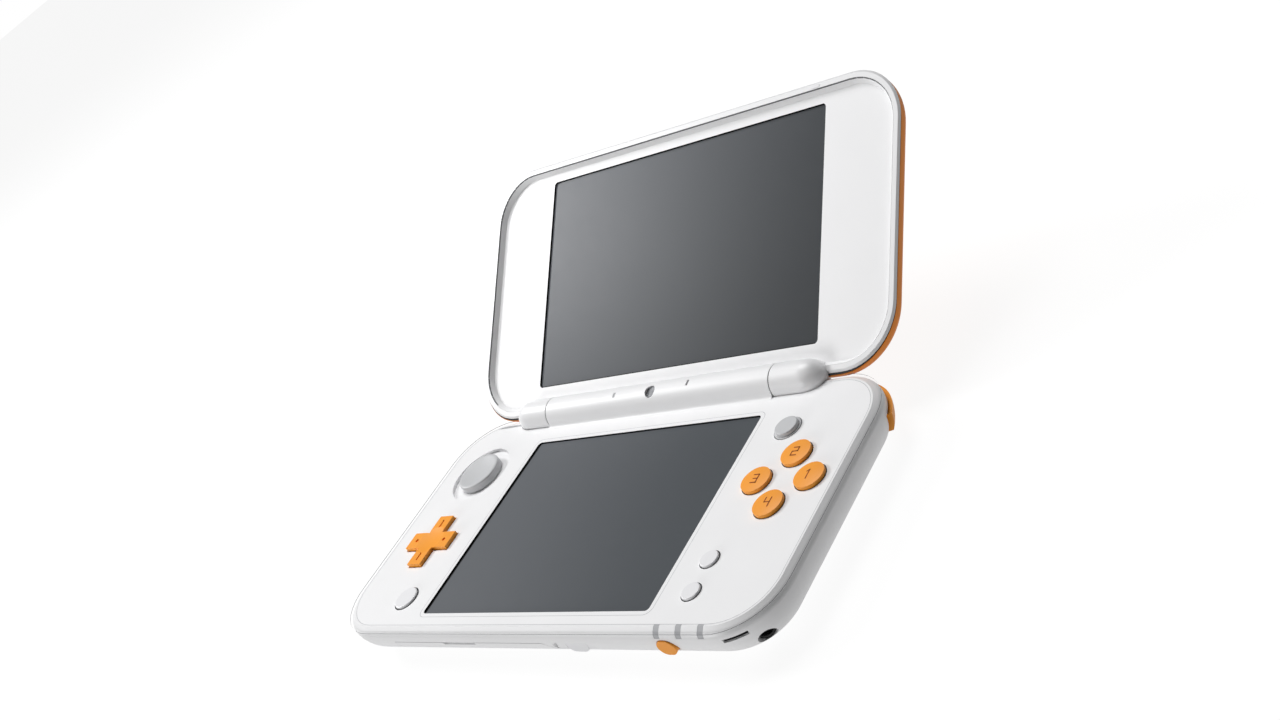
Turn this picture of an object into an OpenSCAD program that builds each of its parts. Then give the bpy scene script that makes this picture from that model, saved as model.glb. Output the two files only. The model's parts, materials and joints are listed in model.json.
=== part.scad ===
// Clamshell handheld game console, shown with its lid open.
// Millimetres. +X right, +Y to the hinge, +Z up. The origin is the middle of the flat underside.
// Every lid piece is drawn with the lid closed and is then turned open about the hinge.

/* [Body] */
// Width of the console
body_w = 160; // [158:1:170]
// Depth of the base, front to back
body_d = 82; // [82:1:90]
// Thickness of the base
base_h = 12.8; // [12.8:0.1:14.5]
// Plan corner radius of the base
corner_r = 16.5; // [15:0.5:18]
// Radius of the belly between side and underside
belly_r = 10.5; // [9.5:0.25:10.5]
// Wall thickness of the base shell
wall = 1.4; // [1.1:0.1:1.6]
// Thickness of the floor above the back cover
floor_t = 1; // [0.8:0.1:1.1]
// Thickness of the removable back cover
cover_t = 0.9; // [0.8:0.1:1]
// Thickness of the top plate
plate_t = 1.5; // [1.4:0.1:1.6]
// Distance from the body's side to the top plate's edge
plate_inset = 2.6; // [2.4:0.1:2.8]

/* [Lid] */
// Angle between the closed lid and the lid as shown
lid_angle = 145.1; // [0:0.1:150]
// Distance from the base's front edge back to the closed lid's free edge
lid_back = 1.2; // [1:0.1:1.5]
// Distance from the base's side in to the lid's side
lid_side = 0.5; // [0.3:0.05:0.8]
// Thickness of the lid
lid_t = 7.75; // [7.5:0.05:8.5]
// Plan corner radius of the lid
lid_r = 17; // [16:0.5:18]
// Radius of the outer cover's rounded edge
lid_edge_r = 4; // [3.5:0.25:4.5]
// Gap between the closed lid's rim and the base
close_gap = 0.25; // [0.2:0.05:0.4]
// Depth of the bezel below the lid's rim
bezel_depth = 1.64; // [1.6:0.02:1.8]
// Width of the sloped wall between rim and bezel
slope_w = 1.2; // [0.8:0.05:2]

/* [Screens] */
// Width of the upper screen opening
upper_w = 107; // [104:0.5:108]
// Height of the upper screen opening
upper_h = 64.8; // [62:0.2:65]
// Width of the lower screen opening
lower_w = 85.4; // [83:0.2:86]
// Height of the lower screen opening
lower_h = 63.6; // [62:0.2:64]
// Thickness of each display module
lcd_t = 2.2; // [1.8:0.1:2.3]

/* [Hinge] */
// Radius of the hinge barrel
barrel_r = 4.9; // [4.7:0.05:5]
// Half the length of the barrel that belongs to the base
barrel_half = 42.7; // [41:0.1:44]
// Length of a lid knuckle's straight part
knuckle_straight = 9; // [8:0.5:10]
// Length of a lid knuckle's domed end
knuckle_dome = 6.3; // [6:0.1:7]
// Height of the hinge axis above the top plate
hinge_up = 0.5; // [0.4:0.05:0.7]
// Distance of the hinge axis from the base's back edge
hinge_in = 0.4; // [0.3:0.05:0.6]
// Radius of the friction hinge's shaft
shaft_r = 1.5; // [1.3:0.05:1.7]
// Radius of the hollow hinge bush
bush_r = 3; // [2.8:0.05:3.1]

/* [Controls] */
// Distance from the side to the left controls' centre line
left_inset = 19; // [18.8:0.1:19.5]
// Distance from the side to the right controls' centre line
right_inset = 17.5; // [17.3:0.1:18]
// Radius of a face button
face_r = 4.15; // [3.9:0.05:4.3]
// Distance of a face button from the group's middle
face_pitch = 8.15; // [8.05:0.05:8.3]
// Radius of the slide pad's cap
pad_r = 7; // [6.6:0.1:7]
// Travel of the slide pad each way
pad_travel = 2.1; // [1.8:0.1:2.1]
// Span of the direction pad, tip to tip
cross_l = 18.2; // [17:0.1:18.6]
// Width of a direction pad arm
cross_w = 5.8; // [5.4:0.1:6.2]
// Height of the direction pad above the top plate
cross_up = 1.1; // [0.9:0.05:1.15]
// Height of the slide pad above the top plate
cap_up = 1.4; // [1.1:0.05:1.4]
// Gap between a button and its hole
button_gap = 0.2; // [0.15:0.05:0.3]

/* [Slots] */
// Width of the game card slot
card_w = 34; // [33.6:0.1:34.4]
// Height of the game card slot
card_h = 4.3; // [4.2:0.05:4.3]
// Radius of the headphone jack's bore
jack_r = 1.8; // [1.75:0.05:1.9]
// Depth of the headphone jack's bore
jack_depth = 11.5; // [10:0.5:12]
// Width of the stylus
stylus_w = 7.4; // [7:0.1:8]
// Thickness of the stylus
stylus_h = 4.4; // [4:0.1:4.6]
// Length of the stylus
stylus_l = 70; // [60:1:72]

/* [Hidden] */
$fn = 64;

// Clearances
fit = 0.06;
run_fit = 0.05;
moving_gap = 0.3;
past = 1;

// Colours
white = [0.93, 0.93, 0.94];
orange = [0.93, 0.55, 0.18];
grey = [0.72, 0.73, 0.74];
dark = [0.2, 0.21, 0.22];
slate = [0.33, 0.35, 0.36];
metal = [0.7, 0.71, 0.73];
board_green = [0.1, 0.35, 0.22];

// Base levels and outline
hw = body_w / 2;
hd = body_d / 2;
floor_z = cover_t + floor_t;
plate_z = base_h - plate_t;
plate_w = body_w - 2 * plate_inset;
plate_d = body_d - 2 * plate_inset;
plate_r = corner_r - plate_inset;
seat_w = 1;
seat_h = 1.2;
seat_z = plate_z - seat_h;
shoulder_h = 2.3;
shoulder_r = 2;
crease_up = 1.8;
shoulder_z = base_h - shoulder_h;
crease_z = shoulder_z + crease_up;
crease_in = shoulder_r - sqrt(shoulder_r * shoulder_r - crease_up * crease_up);

// Lid levels, lid closed
lid_z = base_h + close_gap;
lid_top = lid_z + lid_t;
bezel_z = lid_z + bezel_depth;
bezel_t = 1.2;
flange_h = 0.5;
trim_h = 0.2;
frame_h = 2.9;
core_h = 1.7;
lid_w = body_w - 2 * lid_side;
lid_d = body_d - lid_back;
lid_wall = 1.4;
seam_z = lid_z + flange_h + trim_h;
lid_yc = hd - lid_d / 2;
flange_in = 0.8;
core_in = lid_wall + 0.2;
rim_in = 2.8;
screen_back = 41.79;
screen_yc = hd - screen_back;
crown_start = 45;
crown_r = (lid_top - seam_z - lid_edge_r * sin(crown_start)) / (1 - sin(crown_start));

// Hinge
hinge_y = hd - hinge_in;
hinge_z = base_h + hinge_up;
knuckle_x = barrel_half + moving_gap;
knuckle_end = knuckle_x + knuckle_straight + knuckle_dome;
room_r = barrel_r + moving_gap;
barrel_bore = 3.5;
barrel_end = 6.5;
fillet_r = 1.5;
camera_angle = 20;

// Circuit board and stack
pcb_z = 8;
pcb_t = 0.8;
pcb_top = pcb_z + pcb_t;
screen_lip = 0.5;
panel_t = 0.6;
panel_margin = 1.8;
panel_z = base_h - screen_lip - panel_t;
lower_yc = hd - 43.7;
flange_t = 0.7;
flange_w = 0.6;
button_z = pcb_top + 1.5;
cap_z = base_h + cap_up;
cross_top = base_h + cross_up;

// Control positions
left_x = left_inset - hw;
right_x = hw - right_inset;
pad_y = hd - 22.6;
cross_y = hd - 49.35;
face_y = hd - 36;
stick_x = right_x - 8.1;
stick_y = hd - 18.1;
stick_r = 3.8;
start_x = right_x - 9.2;
start_y = 21.6 - hd;
select_y = 11.9 - hd;
small_r = 2.6;
home_x = left_x + 6.6;
home_y = 11.8 - hd;
home_r = 3.7;
dish_r = pad_r + pad_travel * sqrt(2) + 0.3;
dish_depth = 1;
dish_floor = 0.75;
stem_r = 1.6;
stem_hole = stem_r + pad_travel * sqrt(2) + 0.3;
disc_t = 0.45;
carriage_t = 0.7;
face_spots = [[1, 0], [0, 1], [-1, 0], [0, -1]];

// Screws, from the floor up into the top plate
screw_spots = [
    [hw - 9.5, -14],
    [hw - 9.5, 20],
    [9.5 - hw, -21.5],
    [9.5 - hw, 3.2],
    [47.5, hd - 9.8],
    [-47.5, hd - 9.8]
];
boss_r = 2;
screw_r = 0.8;
screw_head_r = 1.5;

// Front features
front_y = -hd;
front_cy = belly_r - hd;
card_x = 47 - hw;
card_z = 3;
card_depth = 32;
card_wall = 0.7;
flap_x0 = 26.5 - hw;
flap_x1 = hw - 71.4;
flap_top = 8.5;
flap_t = 1.3;
flap_axis_angle = 30;
flap_axis_r = belly_r - 0.85;
flap_axis_y = front_cy - flap_axis_r * sin(flap_axis_angle);
flap_axis_z = belly_r - flap_axis_r * cos(flap_axis_angle);
flap_knuckle_r = 0.85;
flap_end_angle = 79;
flap_slant = 2.2;
flap_slant_z = 7;
notch_x = 53.8 - hw;
notch_half = 6.5;
bulkhead_y = 6.8 - hd;
bulkhead_t = 1;
memory_x = 78 - hw;
memory_w = 11.4;
stylus_x = hw - 63;
stylus_z = 6.5;
stylus_gap = 0.15;
holder_t = 0.6;
power_x = hw - 30.6;
power_z = 7.9;
power_r = 2.2;
power_half = 0.5;
power_out = 0.7;
pipe_x = [hw - 31.7, hw - 24.8, hw - 18];
pipe_w = 1.8;
jack_z = 4.5;
jack_reach = corner_r - 4.6;
jack_box = 8.5;
mouth_r = 2.5;
speaker_slot_z = 9.4;
speaker_slot_h = 1.1;
speaker_slot_from = -77;
speaker_slot_to = -54;

// Back and side features
shoulder_bottom = 3.6;
shoulder_low_top = 6.4;
shoulder_top = 8.5;
shoulder_out = 1.1;
shoulder_depth = 1.6;
shoulder_start = 15;
shoulder_x = hw - 31.5;
trigger_w = 13;
trigger_gap = 0.5;
slider_y = 2;
slider_z = 8.2;
slider_l = 5;
slider_h = 1.8;
slider_travel = 3;
dc_w = 7;
dc_h = 3.4;
dc_z = 4.6;
ir_x = 20;
ir_w = 6;
ir_h = 3;
outer_camera_x = 9;
outer_camera_y = hd - 14.7;
outer_camera_r = 2.2;

// Back cover and battery
cover_w = body_w - 32;
cover_d = 50;
cover_r = 6;
cover_yc = -3.2;
cover_screw_x = hw - 23.5;
cover_screw_y = 16.5 - hd;
battery_x = 42.4;
battery_yc = 0.5;
battery_w = 41;
battery_d = 38;
battery_t = 5.2;

// Openings, supports and small parts
screen_corner = 1.2;
screw_head_t = 0.5;
recess_l = 1.4;
recess_w = 0.35;
cover_boss_top = 5;
foot_x = hw - 13.1;
foot_y = [15 - hd, hd - 15];
foot_r1 = 2.4;
foot_t = 0.5;
pin_x = shoulder_x + 3;
pin_y = hd - 6.8;
pin_r = 1;
pin_top = 6.9;
arm_r = 2;
arm_l = 4;
shoulder_open = 4;
shoulder_room = 5.5;
rib_w = 2;
rib_in = 2.8;
rib_t = 1.6;
rib_edge = 0.4;
trigger_x1 = shoulder_x - trigger_gap;
trigger_x0 = trigger_x1 - trigger_w;
trigger_out = 0.7;
trigger_depth = 2.4;
trigger_inset = -1.7;
switch_x0 = hw - 38.5;
switch_x1 = hw - 20;
switch_y = hd - 8.4;
switch_w = 5;
switch_d = 3;
switch_h = 2.4;
memory_h = 1.1;
memory_z = card_z + (card_h - memory_h) / 2;
memory_depth = 14;
notch_depth = 0.9;
notch_h = 0.9;
stylus_half = (stylus_w - stylus_h) / 2;
scoop_half = 4.9;
scoop_depth = 1.3;
holder_front = 5;
stylus_back = 31.1;
pipe_z = crease_z - 1.5;
dc_depth = 6.8;
dc_l = 8;
dish_z = base_h - dish_depth;
board_w = body_w - 15;
board_d = body_d - 11;
board_r = 11;
board_notch = 24;
chip_t = 1;
chip_spots = [[-10, -10, 14, 14], [-8, 9, 10, 10], [26, 24, 12, 6]];
speaker_x = hw - 13.4;
speaker_y = 11 - hd;
speaker_z = 7.4;
speaker_d = 9;
speaker_w = 12;
speaker_t = plate_z - 0.2 - speaker_z;
jack_h = 4.9;
jack_w = 6;
power_seat_y = 3.1 - hd;
power_flange_t = 0.7;
slider_out = 0.4;
slider_in = 2.4;
slider_lap = 0.35;

// Button details
slide_gap = 0.1;
tray_r = 12.5;
tray_wall = 0.8;
tray_floor = 0.4;
tray_h = 2.2;
carriage_z = pcb_top + tray_floor + slide_gap;
carriage_l = 16;
carriage_w = 10.5;
disc_r = stem_hole + pad_travel * sqrt(2) + 0.3;
cap_gap = 0.15;
pad_edge = 0.5;
pad_hollow = 0.7;
pad_hollow_r = 26;
cross_z = 9.9;
cross_flange_t = 0.6;
cross_dip = 0.4;
cross_dip_r = 30;
mark_at = 6.2;
mark_t = 0.25;
mark_w = 0.6;
mark_l = 2.8;
pivot_r = 2;
pivot_z = 9;
pivot_h = 0.8;
membrane_t = 0.4;
membrane_r = 8.6;
dome_at = 6.3;
dome_r = 2.5;
dome_h = 0.7;
low_dome_r = 1.6;
low_dome_h = 0.6;
small_dome_h = 1.1;
face_up = cap_up - 0.2;
face_edge = 0.4;
face_dome_r = 34;
nub_z = 9.7;
nub_in = 0.5;
nub_edge = 0.4;
small_up = 0.6;
small_edge = 0.3;

// Barrel details
camera_box = 3.4;
camera_low = -2.5;
camera_top = 2.8;
camera_r = 1.8;
camera_window_t = 1.3;
indicator_x = -14.2;
indicator_angle = 15;
indicator_low = 3;
slit_w = 0.8;
slit_d = 1.5;
mic_x = 13.8;
mic_angle = 8;
mic_d = 1.9;
mic_box = 3;
mic_top = 3;
lens_in = 0.3;
shaft_head = 3;
cartridge_r = 3.4;
cartridge_l = 9.5;
bush_l = 8;
bush_wall = 0.5;

// Lid details
rim_out = 1.4;
tip_room_r = 1.7;
web_y = hd - 6.4;
web_w = 2.8;
web_l = 15;
web_top = 16.9;
cover_gap = 0.5;
trim_in = 0.25;

// ---------- Shared shapes ----------

module round_rect(w, d, r) {
    square([w - 2 * r, d], center = true);
    square([w, d - 2 * r], center = true);
    for (sx = [-1, 1], sy = [-1, 1]) {
        translate([sx * (w / 2 - r), sy * (d / 2 - r)]) circle(r);
    }
}

// A rounded-rectangle solid whose edge follows the profile given as its child.
// The profile's x runs outwards from the plan corner's centre, and its y is the height.
module pan(w, d, r, z0, z1) {
    for (sx = [0, 1], sy = [0, 1]) {
        mirror([sx, 0, 0]) mirror([0, sy, 0]) translate([w / 2 - r, d / 2 - r, 0])
            rotate_extrude(angle = 90) children();
    }
    for (sy = [0, 1]) {
        mirror([0, sy, 0]) translate([r - w / 2, d / 2 - r, 0])
            rotate([90, 0, 90]) linear_extrude(w - 2 * r) children();
    }
    for (sx = [0, 1]) {
        mirror([sx, 0, 0]) translate([w / 2 - r, d / 2 - r, 0])
            rotate([90, 0, 0]) linear_extrude(d - 2 * r) children();
    }
    translate([r - w / 2, r - d / 2, z0]) cube([w - 2 * r, d - 2 * r, z1 - z0]);
}

// A cylinder along X, centred on x = 0
module x_rod(r, l) {
    rotate([0, 90, 0]) cylinder(r = r, h = l, center = true);
}

// A flat-sided oval, drawn in XZ and extruded towards +Y
module y_oval(half, r, l) {
    rotate([-90, 0, 0]) linear_extrude(l) {
        for (s = [-1, 1]) translate([s * half, 0]) circle(r);
        square([2 * half, 2 * r], center = true);
    }
}

module at_hinge() {
    translate([0, hinge_y, hinge_z]) children();
}

module open_lid() {
    at_hinge() rotate([-lid_angle, 0, 0]) translate([0, -hinge_y, -hinge_z]) children();
}

// A knuckle with its domed end, on the hinge axis, pointing to +X
module knuckle_form(x0, x1, r, dome) {
    steps = 14;
    last = 85;
    curve = [for (i = [0:steps]) [r * cos(last * i / steps), x1 + dome * sin(last * i / steps) / sin(last)]];
    at_hinge() rotate([0, 90, 0]) rotate_extrude()
        polygon(concat([[0, x0], [r, x0]], curve, [[0, x1 + dome]]));
}

module knuckle_rooms() {
    for (s = [0, 1]) {
        mirror([s, 0, 0]) {
            knuckle_form(barrel_half, knuckle_x + knuckle_straight, room_r, knuckle_dome + moving_gap);
            at_hinge() rotate([0, 90, 0]) translate([0, 0, barrel_half])
                cylinder(r = tip_room_r, h = knuckle_end + moving_gap - barrel_half);
        }
    }
}

// ---------- Base shell ----------

module base_profile() {
    square([corner_r - belly_r, base_h]);
    intersection() {
        translate([corner_r - belly_r, belly_r]) circle(belly_r);
        translate([corner_r - belly_r, 0]) square([belly_r, belly_r]);
    }
    if (shoulder_z > belly_r) {
        translate([corner_r - belly_r, belly_r]) square([belly_r, shoulder_z - belly_r]);
    }
    translate([corner_r - belly_r, shoulder_z]) square([belly_r - shoulder_r, shoulder_h]);
    intersection() {
        translate([corner_r - shoulder_r, shoulder_z]) circle(shoulder_r);
        translate([corner_r - shoulder_r, shoulder_z]) square([shoulder_r, crease_up]);
    }
    polygon([
        [corner_r - shoulder_r, crease_z],
        [corner_r - crease_in, crease_z],
        [corner_r - shoulder_r, base_h]
    ]);
}

module base_form() {
    pan(body_w, body_d, corner_r, 0, base_h) base_profile();
}

module cavity_profile() {
    intersection() {
        union() {
            translate([corner_r - belly_r, belly_r]) circle(belly_r - wall);
            square([corner_r - belly_r, base_h]);
            translate([0, belly_r]) square([corner_r - wall, base_h]);
        }
        translate([0, floor_z]) square([corner_r, seat_z - floor_z]);
    }
}

module base_cavity() {
    pan(body_w, body_d, corner_r, floor_z, seat_z) cavity_profile();
    translate([0, 0, seat_z - past])
        linear_extrude(seat_h + 2 * past)
            round_rect(plate_w - 2 * seat_w, plate_d - 2 * seat_w, plate_r - seat_w);
}

module plate_room() {
    translate([0, 0, plate_z])
        linear_extrude(plate_t + past) round_rect(plate_w + 2 * fit, plate_d + 2 * fit, plate_r + fit);
}

module hinge_cradle() {
    intersection() {
        base_form();
        at_hinge() x_rod(room_r + wall, 2 * (knuckle_end + wall));
    }
}

module at_screws() {
    for (p = screw_spots) {
        translate([p[0], p[1], 0]) children();
    }
}

module at_cover_screws() {
    for (s = [-1, 1]) {
        translate([s * cover_screw_x, cover_screw_y, 0]) children();
    }
}

module at_feet() {
    for (x = [-foot_x, foot_x], y = foot_y) {
        translate([x, y, 0]) children();
    }
}

module shell_posts() {
    low = floor_z - floor_t / 2;
    at_screws() translate([0, 0, low]) cylinder(r = boss_r, h = pcb_z - low);
    at_cover_screws() translate([0, 0, low]) cylinder(r = boss_r, h = cover_boss_top - low);
    for (s = [-1, 1]) {
        translate([s * pin_x, pin_y, floor_z - floor_t / 2]) cylinder(r = pin_r, h = pin_top - low);
    }
}

module front_arc(out, depth, a0, a1) {
    far = 2 * belly_r;
    mid = (a0 + a1) / 2;
    translate([front_cy, belly_r]) intersection() {
        difference() {
            circle(belly_r + out);
            circle(belly_r - depth);
        }
        polygon([
            [0, 0],
            [-far * sin(a0), -far * cos(a0)],
            [-far * sin(mid), -far * cos(mid)],
            [-far * sin(a1), -far * cos(a1)]
        ]);
    }
}

// The flap's outline seen from the front: its right end slants near the top edge
module flap_outline(g) {
    polygon([
        [flap_x0 - g, 0],
        [flap_x1 + g, 0],
        [flap_x1 + g, flap_slant_z],
        [flap_x1 + g - flap_slant, flap_top + g],
        [flap_x0 - g, flap_top + g]
    ]);
}

module flap_room() {
    g = button_gap;
    intersection() {
        translate([0, front_cy, 0]) rotate([90, 0, 0]) linear_extrude(2 * belly_r) flap_outline(g);
        translate([flap_x0 - past, 0, 0]) rotate([90, 0, 90]) linear_extrude(flap_x1 - flap_x0 + 2 * past)
            front_arc(past, flap_t + g, flap_axis_angle, flap_end_angle + 2);
    }
    translate([(flap_x0 + flap_x1) / 2, flap_axis_y, flap_axis_z])
        x_rod(flap_knuckle_r + g, flap_x1 - flap_x0 + 2 * g);
}

module card_bulkhead() {
    x0 = flap_x0 - wall;
    low = floor_z - floor_t / 2;
    difference() {
        translate([x0, bulkhead_y, low])
            cube([flap_x1 + wall - x0, bulkhead_t, panel_z - lcd_t - 2 * fit - low]);
        translate([card_x - card_w / 2, bulkhead_y - past, card_z])
            cube([card_w, bulkhead_t + 2 * past, card_h]);
        translate([memory_x - memory_w / 2, bulkhead_y - past, memory_z])
            cube([memory_w, bulkhead_t + 2 * past, memory_h]);
    }
}

module corner_slot(z, h, a0, a1) {
    translate([hw - corner_r, corner_r - hd, z - h / 2]) rotate([0, 0, a0])
        rotate_extrude(angle = a1 - a0) translate([corner_r - wall - past, 0]) square([wall + 2 * past, h]);
}

module jack_axis() {
    translate([hw - corner_r, corner_r - hd, jack_z]) rotate([0, 0, -45]) rotate([0, 90, 0]) children();
}

module shoulder_section(z0, z1, out, depth) {
    intersection() {
        translate([corner_r - belly_r, belly_r]) difference() {
            circle(belly_r + out);
            circle(belly_r - depth);
        }
        translate([corner_r - belly_r, z0]) square([belly_r + 2 * past, z1 - z0]);
    }
}

// The corner part of a shoulder button: it follows the base's back corner
module shoulder_corner(z0, z1, out, depth, start) {
    translate([hw - corner_r, hd - corner_r, 0]) rotate([0, 0, start])
        rotate_extrude(angle = 90 - start) shoulder_section(z0, z1, out, depth);
}

module back_strip(x0, x1, z0, z1, out, depth) {
    translate([x0, hd - corner_r, 0]) rotate([90, 0, 90])
        linear_extrude(x1 - x0) shoulder_section(z0, z1, out, depth);
}

module shoulder_cutouts() {
    g = moving_gap;
    start = shoulder_start - shoulder_open;
    z0 = shoulder_bottom - g;
    for (s = [0, 1]) {
        mirror([s, 0, 0]) {
            translate([hw - corner_r, hd - corner_r, 0]) rotate([0, 0, start])
                rotate_extrude(angle = 90 - start)
                translate([corner_r - shoulder_room, z0])
                    square([shoulder_room + past, shoulder_top + g - z0]);
            translate([trigger_x0 - g, hd - shoulder_room, z0])
                cube([hw - corner_r - trigger_x0 + g, shoulder_room + past, shoulder_low_top + g - z0]);
        }
    }
}

module front_cutouts() {
    flap_room();
    translate([stylus_x, front_y - past, stylus_z]) y_oval(stylus_half, stylus_h / 2 + stylus_gap, hd / 2);
    translate([stylus_x, front_y - past, stylus_z])
        y_oval(scoop_half, stylus_h / 2 + stylus_gap, past + scoop_depth);
    translate([power_x, front_y - past, power_z])
        y_oval(power_half, power_r + button_gap, plate_inset + past + wall);
    for (x = pipe_x) {
        translate([x - pipe_w / 2, front_y - past, pipe_z])
            cube([pipe_w, past + plate_inset + fit, base_h]);
    }
    for (s = [0, 1]) {
        mirror([s, 0, 0]) corner_slot(speaker_slot_z, speaker_slot_h, speaker_slot_from, speaker_slot_to);
    }
    jack_axis() cylinder(r = mouth_r, h = corner_r + past);
}

module back_and_side_cutouts() {
    slot_l = slider_l + 2 * slider_travel + 2 * button_gap;
    slot_h = slider_h + 2 * button_gap;
    shoulder_cutouts();
    translate([-dc_w / 2, hd - dc_depth, dc_z - dc_h / 2]) cube([dc_w, dc_depth + past, dc_h]);
    translate([ir_x - ir_w / 2 - fit, hd - dc_depth, dc_z - ir_h / 2 - fit])
        cube([ir_w + 2 * fit, dc_depth + past, ir_h + 2 * fit]);
    translate([-hw - past, slider_y - slot_l / 2, slider_z - slot_h / 2])
        cube([wall + 2 * past, slot_l, slot_h]);
}

module underside_cutouts() {
    translate([0, cover_yc, -past]) linear_extrude(cover_t + past) round_rect(cover_w, cover_d, cover_r);
    translate([battery_x, battery_yc, 0])
        linear_extrude(floor_z + past)
            round_rect(battery_w + 2 * button_gap, battery_d + 2 * button_gap, 1);
    at_screws() translate([0, 0, -past]) cylinder(r = screw_r + fit, h = base_h);
    at_screws() translate([0, 0, -past]) cylinder(r = screw_head_r + fit, h = past + screw_head_t + fit);
    at_cover_screws() cylinder(r = screw_r + fit, h = cover_boss_top - fit);
    at_feet() translate([0, 0, -past]) cylinder(r = foot_r1 + fit, h = past + foot_t + fit);
    for (s = [-1, 1]) {
        translate([s * outer_camera_x, outer_camera_y, -past])
            cylinder(r = outer_camera_r + fit, h = floor_z + 2 * past);
    }
}

module base_shell() {
    color(white) difference() {
        union() {
            difference() {
                base_form();
                base_cavity();
            }
            hinge_cradle();
            shell_posts();
            intersection() {
                base_form();
                card_bulkhead();
            }
        }
        plate_room();
        knuckle_rooms();
        at_hinge() x_rod(barrel_r + fit, 2 * barrel_half + fit);
        underside_cutouts();
        front_cutouts();
        back_and_side_cutouts();
    }
}

module back_cover() {
    color(white) translate([0, cover_yc, 0]) difference() {
        linear_extrude(cover_t - fit) round_rect(cover_w - 2 * fit, cover_d - 2 * fit, cover_r - fit);
        for (s = [-1, 1]) {
            translate([s * cover_screw_x, cover_screw_y - cover_yc, -past]) {
                cylinder(r = screw_r + fit, h = cover_t + 2 * past);
                cylinder(r = screw_head_r + fit, h = past + screw_head_t + fit);
            }
        }
    }
}

module screw(l) {
    cylinder(r = screw_head_r, h = screw_head_t);
    cylinder(r = screw_r, h = l);
}

module back_cover_screws() {
    color(metal) at_cover_screws() difference() {
        screw(cover_boss_top - 1);
        cross_recess();
    }
}

module cross_recess() {
    for (a = [0, 90]) {
        rotate([0, 0, a]) translate([0, 0, -past]) linear_extrude(past + screw_head_t / 2)
            square([recess_l, recess_w], center = true);
    }
}

module base_screws() {
    color(metal) at_screws() difference() {
        screw(plate_z + plate_t / 2);
        cross_recess();
    }
}

module foot_pads() {
    color(grey) at_feet() cylinder(r = foot_r1, h = foot_t);
}

// ---------- Top plate ----------

module barrel_fillet() {
    rise = fillet_r - hinge_up;
    reach = sqrt((barrel_r + fillet_r) * (barrel_r + fillet_r) - rise * rise);
    fy = hinge_y - reach;
    fz = base_h + fillet_r;
    a1 = 90 - asin(rise / (barrel_r + fillet_r));
    steps = 8;
    arc = [for (i = [0:steps]) [fy + fillet_r * sin(a1 * i / steps), fz - fillet_r * cos(a1 * i / steps)]];
    low = base_h - plate_t / 2;
    translate([-barrel_half, 0, 0]) rotate([90, 0, 90]) linear_extrude(2 * barrel_half)
        polygon(concat(arc, [[hinge_y - barrel_r / 2, hinge_z], [hinge_y - barrel_r / 2, low], [fy, low]]));
}

module plate_blank() {
    translate([0, 0, plate_z]) linear_extrude(plate_t) difference() {
        round_rect(plate_w, plate_d, plate_r);
        translate([0, lower_yc]) round_rect(lower_w, lower_h, screen_corner);
    }
    translate([left_x, pad_y, dish_z - dish_floor]) cylinder(r = dish_r + dish_floor, h = base_h - dish_z);
    at_screws() translate([0, 0, pcb_top]) cylinder(r = boss_r, h = plate_z + plate_t / 2 - pcb_top);
}

module cross_2d(l, w) {
    square([l, w], center = true);
    square([w, l], center = true);
}

module button_hole(x, y, r) {
    translate([x, y, plate_z - past]) cylinder(r = r + button_gap, h = plate_t + 2 * past);
}

module plate_holes() {
    translate([0, lower_yc, plate_z - past]) linear_extrude(past + plate_t - screen_lip)
        round_rect(panel_w() + 2 * fit, panel_d() + 2 * fit, screen_corner);
    translate([left_x, pad_y, dish_z]) cylinder(r = dish_r, h = base_h);
    translate([left_x, pad_y, plate_z - past]) cylinder(r = stem_hole, h = base_h);
    translate([left_x, cross_y, plate_z - past]) linear_extrude(plate_t + 2 * past)
        cross_2d(cross_l + 2 * moving_gap, cross_w + 2 * moving_gap);
    for (s = face_spots) {
        button_hole(right_x + face_pitch * s[0], face_y + face_pitch * s[1], face_r);
    }
    button_hole(stick_x, stick_y, stick_r);
    button_hole(home_x, home_y, home_r);
    button_hole(start_x, start_y, small_r);
    button_hole(start_x, select_y, small_r);
    at_screws() cylinder(r = screw_r + fit, h = plate_z + plate_t / 2 + fit);
}

function panel_w() = lower_w + 2 * panel_margin;
function panel_d() = lower_h + 2 * panel_margin;

// Places its child in the barrel, with +Z pointing out of it, tilted forward by the angle
module in_barrel(x, angle) {
    translate([x, hinge_y, hinge_z]) rotate([angle, 0, 0]) children();
}

module slot_block(w, d, z0, z1) {
    translate([-w / 2, -d / 2, z0]) cube([w, d, z1 - z0]);
}

module base_top_plate() {
    color(white) difference() {
        union() {
            plate_blank();
            at_hinge() x_rod(barrel_r, 2 * barrel_half);
            barrel_fillet();
        }
        plate_holes();
        knuckle_rooms();
        at_hinge() x_rod(barrel_bore, 2 * (barrel_half - barrel_end));
        at_hinge() rotate([0, 90, 0]) cylinder(r = shaft_r + fit, h = body_w);
        at_hinge() rotate([0, -90, 0]) cylinder(r = bush_r + fit, h = body_w);
        in_barrel(0, camera_angle) cylinder(r = camera_r + fit, h = 2 * barrel_r);
        in_barrel(indicator_x, indicator_angle)
            slot_block(slit_w + 2 * fit, slit_d + 2 * fit, 0, 2 * barrel_r);
        in_barrel(mic_x, mic_angle) slot_block(slit_w, mic_d, 0, 2 * barrel_r);
    }
}

// ---------- Inside the base ----------

module touch_panel() {
    color(slate) translate([0, lower_yc, panel_z])
        linear_extrude(panel_t) round_rect(panel_w(), panel_d(), screen_corner);
}

module lower_lcd() {
    color(metal) translate([0, lower_yc, panel_z - lcd_t])
        linear_extrude(lcd_t) round_rect(lower_w + panel_margin, lower_h + panel_margin, screen_corner);
}

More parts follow.
